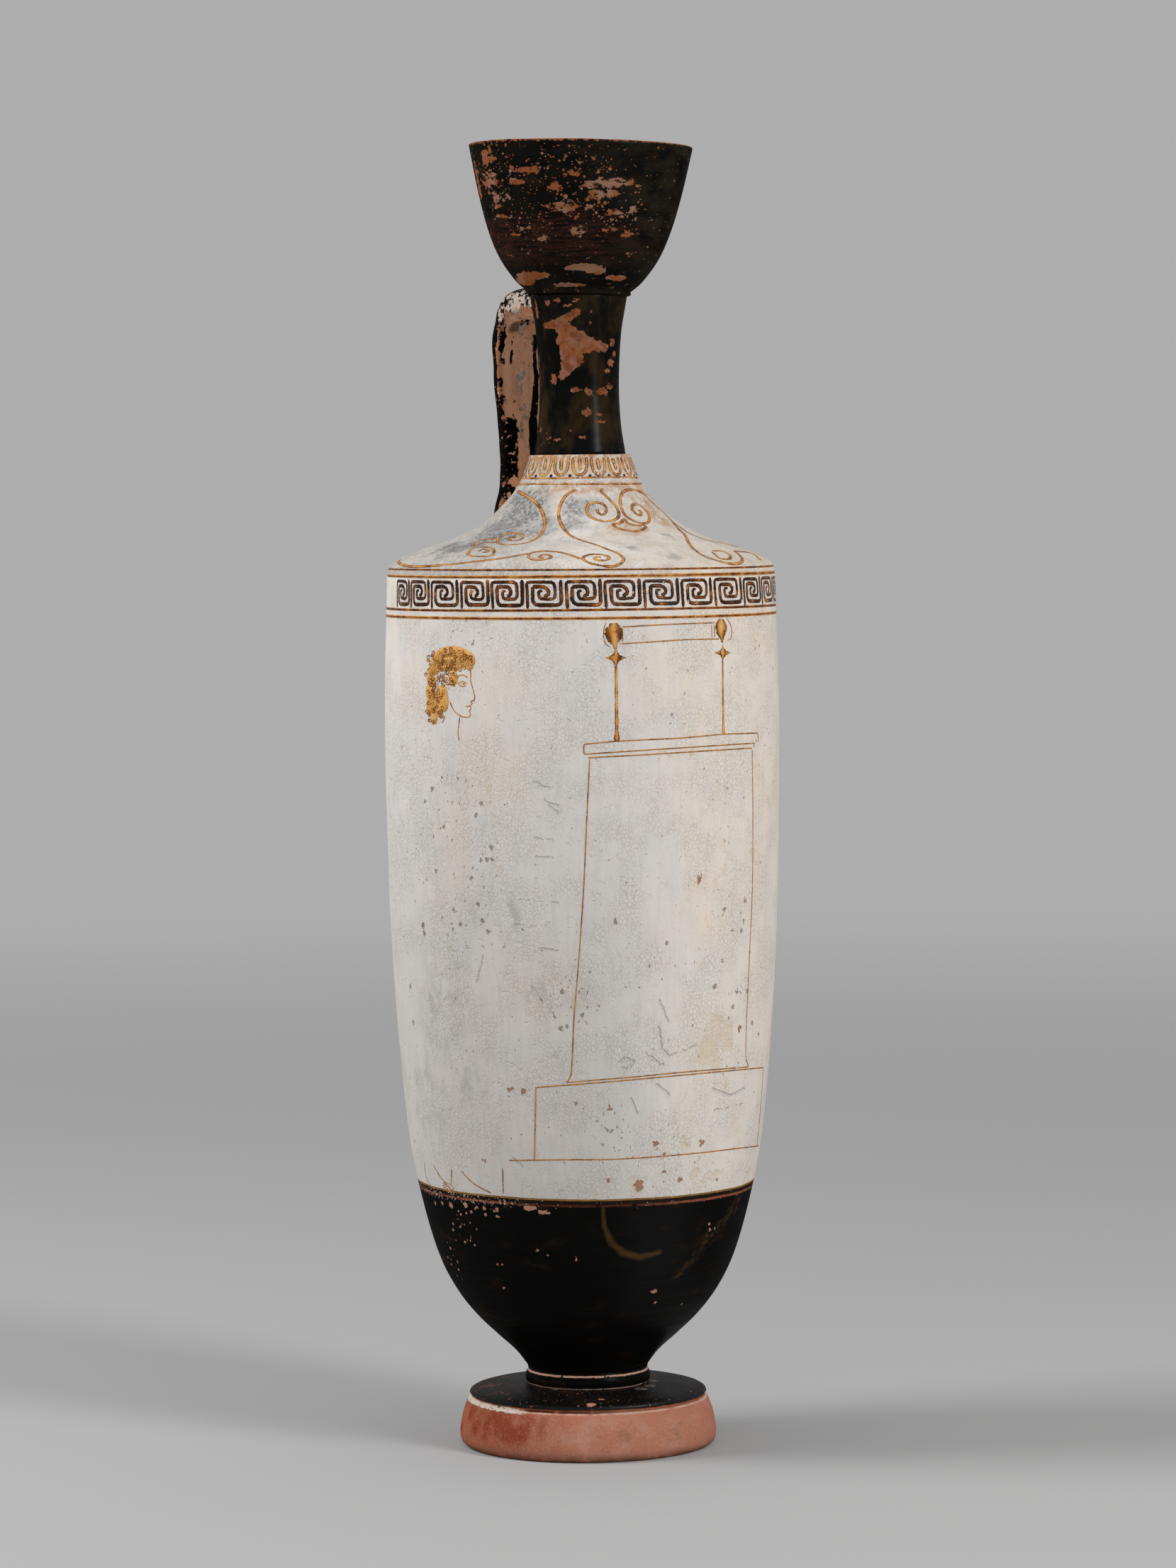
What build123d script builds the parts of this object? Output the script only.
# A white-ground lekythos: a tall oil flask of fired clay, thrown and luted together in eight pieces.
# From the ground up they are the foot, a fillet round the joint, the body, the shoulder with its collar,
# the neck, the cup-shaped mouth, a strap handle, and a small oil vessel that hangs inside the body.
# The origin is the centre of the foot's resting ring, +Z is up, the handle is at +Y and the painted
# front faces -Y. All sizes are in millimetres.

import os
from math import cos, hypot, radians, sin

from build123d import *

# Heights of the stack, each from the seat below it.
foot_height = 19.3
fillet_height = 4.1
body_height = 235.1
shoulder_height = 35.5
neck_height = 46.8
mouth_height = 44.2

# Foot: a broad disc with a bulging side, a reserved groove under the disc's edge, and a hollow below.
foot_radius = 38.2
foot_bulge_height = 3.6
foot_arris_radius = 35.7
foot_arris_height = 15.0
foot_disc_radius = 35.2
foot_disc_edge_height = 17.1
foot_groove_depth = 0.7
foot_base_radius = 36.3
foot_top_dome = 0.3
resting_ring_width = 7.5
foot_hollow_height = 11.0
foot_hollow_step = 1.2
foot_hollow_crown = 6.0

# Fillet: a roll of clay turned true round the joint of foot and body.
fillet_radius = 18.2
fillet_bulge = 0.35
joint_boss_radius = 13.5
fillet_groove = 0.5

# Body: a tall cylinder that narrows to a stem over the foot.
body_radius = 58.4
body_wall = 4.6
body_floor = 7.5
body_floor_radius = 12.0
body_base_radius = 17.9
body_rim_step = 1.0

# Shoulder: a flat-edged slope that sweeps up to the collar, which holds the neck's spigot.
shoulder_wall = 4.8
collar_radius = 14.9
collar_foot_radius = 17.3
collar_height = 7.0
socket_radius = 11.6
socket_rim_width = 4.4
vent_radius = 1.5
vent_reach = 41.0

# Neck: concave outside, with a straight bore, and a spigot that sits in the collar.
neck_base_radius = 13.6
neck_waist_radius = 11.8
neck_waist_share = 0.43
neck_top_radius = 14.6
neck_bore_radius = 7.6

# Mouth: a deep cup with a flat lip, set a little out of true, as it left the potter's hand.
mouth_radius = 33.1
mouth_wall = 3.4
mouth_base_radius = 15.6
mouth_floor = 5.6
lip_round = 0.7
throat_flare = 1.2
bead_height = 1.1
bead_overhang = 0.6
mouth_tilt = 1.4
mouth_tilt_azimuth = -40.0

# Handle: a strap that leaves the neck, bends over beside the mouth and runs down to the shoulder.
# It is thick where it is pulled over at the crown, and spreads where its two ends are luted on.
strap_width = 18.0
strap_thickness = 6.0
strap_reach = 31.5
strap_waist_reach = 29.0
strap_landing_reach = 32.0
strap_crown_rise = 3.4
strap_landing_share = 0.5
strap_corner_share = 0.42
strap_neck_root = 9.0
strap_shoulder_root = 4.0

# Inner vessel: the small container under the neck that holds the oil.
vessel_height = 62.0
vessel_radius = 29.0
vessel_wall = 3.2
vessel_rim_radius = 15.4
vessel_foot_radius = 12.0

overrun = 5.0

# Levels, worked out from the stack.
fillet_base = foot_height
body_base = fillet_base + fillet_height
body_top = body_base + body_height
collar_top = body_top + shoulder_height
collar_foot = collar_top - collar_height
mouth_base = collar_top + neck_height
total_height = mouth_base + mouth_height

# The body's rim, which the shoulder is luted on to.
body_rim_radius = body_radius - body_rim_step

# Outlines as shares of a piece's height and of its largest radius, from the base up.
body_outline_shares = [
    (0.020, 0.369),
    (0.041, 0.461),
    (0.066, 0.565),
    (0.096, 0.659),
    (0.137, 0.745),
    (0.200, 0.823),
    (0.286, 0.894),
    (0.393, 0.940),
    (0.554, 0.981),
    (0.715, 0.998),
    (0.862, 0.9985),
]
mouth_outline_shares = [(0.095, 0.569), (0.25, 0.717), (0.44, 0.823), (0.68, 0.911), (0.91, 0.979)]
mouth_hollow_shares = [(0.11, 0.36), (0.19, 0.50), (0.30, 0.675), (0.45, 0.795), (0.70, 0.905)]
vessel_outline_shares = [(0.07, 0.66), (0.25, 0.93), (0.48, 1.0), (0.74, 0.84), (0.93, 0.58)]
# The shoulder's outline runs from its rim in to the collar's foot, as shares of that rise and that reach.
shoulder_outline_shares = [
    (0.120, 0.976),
    (0.165, 0.928),
    (0.210, 0.873),
    (0.300, 0.704),
    (0.390, 0.501),
    (0.560, 0.275),
    (0.820, 0.084),
    (0.940, 0.026),
]
# The strap's sections: how far along it, and its width and thickness there as shares of the named ones.
strap_section_shares = [
    (0.00, 1.20, 1.90),
    (0.17, 1.12, 1.65),
    (0.28, 1.04, 1.35),
    (0.40, 1.00, 1.08),
    (0.60, 0.98, 1.00),
    (0.80, 0.98, 1.00),
    (0.91, 1.08, 1.20),
    (1.00, 1.40, 1.70),
]


def between(low, high, share):
    return low + (high - low) * share


def scaled(shares, base, height, radius):
    """Outline points (radius, level) from shares of a height above a base and of a radius."""
    return [(radius * across, base + height * up) for up, across in shares]


def inset(points, wall):
    """The points moved inwards by a wall's thickness, square to the line through their neighbours."""
    moved = []
    for before, here, after in zip(points, points[1:], points[2:]):
        along, up = after[0] - before[0], after[1] - before[1]
        length = hypot(along, up)
        moved.append((here[0] - wall * up / length, here[1] + wall * along / length))
    return moved


def arcs_through(points):
    """Arcs through the points, three at a time, and a straight run where one point is left over."""
    runs = [ThreePointArc(*points[at : at + 3]) for at in range(0, len(points) - 2, 2)]
    if len(points) % 2 == 0:
        runs.append(Line(points[-2], points[-1]))
    return runs


def turned(*edges):
    """A solid of revolution round +Z from edges drawn as (radius, level)."""
    return revolve(Plane.XZ * make_face(Curve() + list(edges)), Axis.Z)


def drum(radius, low, high):
    """A plain cylinder round +Z between two levels."""
    return Pos(0, 0, low) * Cylinder(radius, high - low, align=(Align.CENTER, Align.CENTER, Align.MIN))


def set_out_of_true(shape):
    """Tips a shape with the mouth, about the centre of the joint on the neck."""
    seat = Pos(0, 0, mouth_base)
    turn = Rot(0, 0, mouth_tilt_azimuth) * Rot(0, mouth_tilt, 0) * Rot(0, 0, -mouth_tilt_azimuth)
    return seat * turn * seat.inverse() * shape


def make_foot():
    rest_inner = foot_base_radius - resting_ring_width
    hollow_edge = rest_inner - foot_hollow_step
    disc_edge = (foot_disc_radius, foot_disc_edge_height)
    arris = (foot_arris_radius, foot_arris_height)
    bulge = (foot_radius, foot_bulge_height)
    base = (foot_base_radius, 0)
    boss = (joint_boss_radius, fillet_base)
    dome = (between(boss[0], disc_edge[0], 0.5), between(boss[1], disc_edge[1], 0.5) + foot_top_dome)
    notch = (foot_disc_radius - foot_groove_depth, between(foot_arris_height, foot_disc_edge_height, 0.5))
    side = (between(arris[0], bulge[0], 0.66), between(arris[1], bulge[1], 0.5))
    corner = (between(base[0], bulge[0], 0.72), between(base[1], bulge[1], 0.3))
    crown = (foot_hollow_crown, foot_hollow_height)
    vault = (between(crown[0], hollow_edge, 0.55), between(foot_hollow_step, foot_hollow_height, 0.72))
    return turned(
        Line((0, foot_hollow_height), (0, body_base)),
        Line((0, body_base), (joint_boss_radius, body_base)),
        Line((joint_boss_radius, body_base), boss),
        ThreePointArc(boss, dome, disc_edge),
        ThreePointArc(disc_edge, notch, arris),
        ThreePointArc(arris, side, bulge),
        ThreePointArc(bulge, corner, base),
        Line(base, (rest_inner, 0)),
        Line((rest_inner, 0), (hollow_edge, foot_hollow_step)),
        ThreePointArc((hollow_edge, foot_hollow_step), vault, crown),
        Line(crown, (0, foot_hollow_height)),
    )


def make_fillet():
    middle = (fillet_radius + fillet_bulge, between(fillet_base, body_base, 0.5))
    return turned(
        Line((joint_boss_radius, fillet_base), (joint_boss_radius, body_base)),
        Line((joint_boss_radius, body_base), (fillet_radius - fillet_groove, body_base)),
        Line((fillet_radius - fillet_groove, body_base), (fillet_radius, body_base - fillet_groove)),
        ThreePointArc(
            (fillet_radius, body_base - fillet_groove),
            middle,
            (fillet_radius, fillet_base + fillet_groove),
        ),
        Line((fillet_radius, fillet_base + fillet_groove), (fillet_radius - fillet_groove, fillet_base)),
        Line((fillet_radius - fillet_groove, fillet_base), (joint_boss_radius, fillet_base)),
    )


def body_outline():
    """The body's outer points, from the stem's foot to the rim."""
    side = scaled(body_outline_shares, body_base, body_height, body_radius)
    return [(body_base_radius, body_base), *side, (body_rim_radius, body_top)]


def make_body():
    outline = body_outline()
    rim = (body_rim_radius - body_wall, body_top)
    floor = body_base + body_floor
    hollow = [(body_floor_radius, floor), *inset(outline, body_wall)[1:], rim]
    return turned(
        Line((0, body_base), outline[0]),
        *arcs_through(outline),
        Line(outline[-1], rim),
        *arcs_through(hollow),
        Line(hollow[0], (0, floor)),
        Line((0, floor), (0, body_base)),
    )


def shoulder_outline():
    """The shoulder's outer points, from its rim in and up to the collar's foot."""
    rise = collar_foot - body_top
    slope = [
        (between(collar_foot_radius, body_rim_radius, across), body_top + rise * up)
        for up, across in shoulder_outline_shares
    ]
    return [(body_rim_radius, body_top), *slope, (collar_foot_radius, collar_foot)]


def shoulder_form():
    """The shoulder and collar filled solid, which the handle's root and the neck's spigot are cut to."""
    outline = shoulder_outline()
    return turned(
        Line((0, body_top), outline[0]),
        *arcs_through(outline),
        Line(outline[-1], (collar_radius, collar_top)),
        Line((collar_radius, collar_top), (0, collar_top)),
        Line((0, collar_top), (0, body_top)),
    )


def underside_level():
    """The level of the flat ring under the shoulder that the inner vessel hangs from."""
    return collar_foot - shoulder_wall


def make_shoulder():
    ring = (socket_radius + socket_rim_width, underside_level())
    rim = (body_rim_radius - body_wall, body_top)
    hollow = [rim, *inset(shoulder_outline(), shoulder_wall)[2:6], ring]
    inside = turned(
        Line((0, body_top - overrun), (rim[0], body_top - overrun)),
        Line((rim[0], body_top - overrun), rim),
        *arcs_through(hollow),
        Line(ring, (0, ring[1])),
        Line((0, ring[1]), (0, body_top - overrun)),
    )
    vent = Pos(0, vent_reach, body_top) * Cylinder(vent_radius, 2 * shoulder_height)
    socket = drum(socket_radius, body_top, collar_top + overrun)
    return shoulder_form() - inside - socket - vent


def neck_form():
    """The neck's outer shape filled solid, cut at the tipped plane that the mouth sits on."""
    top = mouth_base + mouth_radius * sin(radians(mouth_tilt))
    waist = (neck_waist_radius, between(collar_top, mouth_base, neck_waist_share))
    barrel = turned(
        Line((0, underside_level()), (socket_radius, underside_level())),
        Line((socket_radius, underside_level()), (socket_radius, collar_top)),
        Line((socket_radius, collar_top), (neck_base_radius, collar_top)),
        ThreePointArc((neck_base_radius, collar_top), waist, (neck_top_radius, top)),
        Line((neck_top_radius, top), (0, top)),
        Line((0, top), (0, underside_level())),
    )
    return barrel - set_out_of_true(drum(mouth_radius, mouth_base, top + overrun))


def make_neck():
    return neck_form() - drum(neck_bore_radius, underside_level() - overrun, mouth_base + overrun)


def mouth_outer_edges():
    """The mouth's outside from the joint up to the lip: a small bead, then the cup's curve."""
    bead_foot = (neck_top_radius + bead_overhang, mouth_base)
    bead_top = (mouth_base_radius, mouth_base + bead_height)
    bead_middle = (between(bead_foot[0], bead_top[0], 0.9), between(bead_foot[1], bead_top[1], 0.4))
    cup = scaled(mouth_outline_shares, mouth_base, mouth_height, mouth_radius)
    lip = (mouth_radius, total_height - lip_round)
    rounding = lip_round * (1 - cos(radians(45)))
    return [
        ThreePointArc(bead_foot, bead_middle, bead_top),
        *arcs_through([bead_top, *cup, lip]),
        ThreePointArc(
            lip,
            (mouth_radius - rounding, total_height - rounding),
            (mouth_radius - lip_round, total_height),
        ),
    ]


def mouth_form():
    """The mouth filled solid, which the handle's bend is cut to."""
    return set_out_of_true(
        turned(
            Line((0, mouth_base), (neck_top_radius + bead_overhang, mouth_base)),
            *mouth_outer_edges(),
            Line((mouth_radius - lip_round, total_height), (0, total_height)),
            Line((0, total_height), (0, mouth_base)),
        )
    )


def make_mouth():
    inner_radius = mouth_radius - mouth_wall
    inner_lip = (inner_radius, total_height)
    throat = neck_bore_radius + throat_flare
    throat_top = (throat, mouth_base + mouth_floor / 2)
    hollow = scaled(mouth_hollow_shares, mouth_base, mouth_height, inner_radius)
    cup = turned(
        Line((throat, mouth_base), (neck_top_radius + bead_overhang, mouth_base)),
        *mouth_outer_edges(),
        Line((mouth_radius - lip_round, total_height), inner_lip),
        *arcs_through([inner_lip, *hollow[::-1], throat_top]),
        Line(throat_top, (throat, mouth_base)),
    )
    return set_out_of_true(cup)


def handle_path():
    """The strap's centre line in the plane of the handle, from inside the neck to inside the shoulder."""
    half = strap_thickness / 2
    crown = mouth_base + strap_crown_rise - half * strap_section_shares[1][2]
    landing = between(body_top, collar_foot, strap_landing_share)
    root = neck_top_radius - strap_neck_root
    outer = strap_reach - half
    waist = strap_waist_reach - half
    bend = outer - root
    return Spline(
        [
            (0, root, crown - 0.05 * bend),
            (0, between(root, outer, 0.62), crown),
            (0, between(root, outer, 0.86), crown - 0.15 * bend),
            (0, outer, between(landing, crown, 0.78)),
            (0, between(waist, outer, 0.3), between(landing, crown, 0.44)),
            (0, waist, between(landing, crown, 0.23)),
            (0, strap_landing_reach - half, landing - strap_shoulder_root),
        ]
    )


def make_handle():
    path = handle_path()
    sections = []
    for along, width, thickness in strap_section_shares:
        seat = Plane(path.position_at(along), x_dir=(1, 0, 0), z_dir=path.tangent_at(along))
        corner = strap_thickness * thickness * strap_corner_share
        sections.append(seat * RectangleRounded(strap_width * width, strap_thickness * thickness, corner))
    return loft(sections) - neck_form() - shoulder_form() - mouth_form()


def make_inner_vessel():
    top = underside_level()
    base = top - vessel_height
    floor = base + vessel_wall
    side = scaled(vessel_outline_shares, base, vessel_height, vessel_radius)
    outline = [(vessel_foot_radius, base), *side, (vessel_rim_radius, top)]
    rim = (vessel_rim_radius - vessel_wall, top)
    hollow = [(vessel_foot_radius, floor), *inset(outline, vessel_wall), rim]
    return turned(
        Line((0, base), outline[0]),
        *arcs_through(outline),
        Line(outline[-1], rim),
        *arcs_through(hollow),
        Line(hollow[0], (0, floor)),
        Line((0, floor), (0, base)),
    )


pieces = {
    "foot": make_foot,
    "foot_fillet": make_fillet,
    "body": make_body,
    "shoulder": make_shoulder,
    "neck": make_neck,
    "mouth": make_mouth,
    "handle": make_handle,
    "inner_vessel": make_inner_vessel,
}

os.makedirs("parts", exist_ok=True)
for name, make in pieces.items():
    solid = make()
    solid.label = name
    export_step(solid, f"parts/{name}.step")
    print(name, "solids", len(solid.solids()), "volume", round(solid.volume))
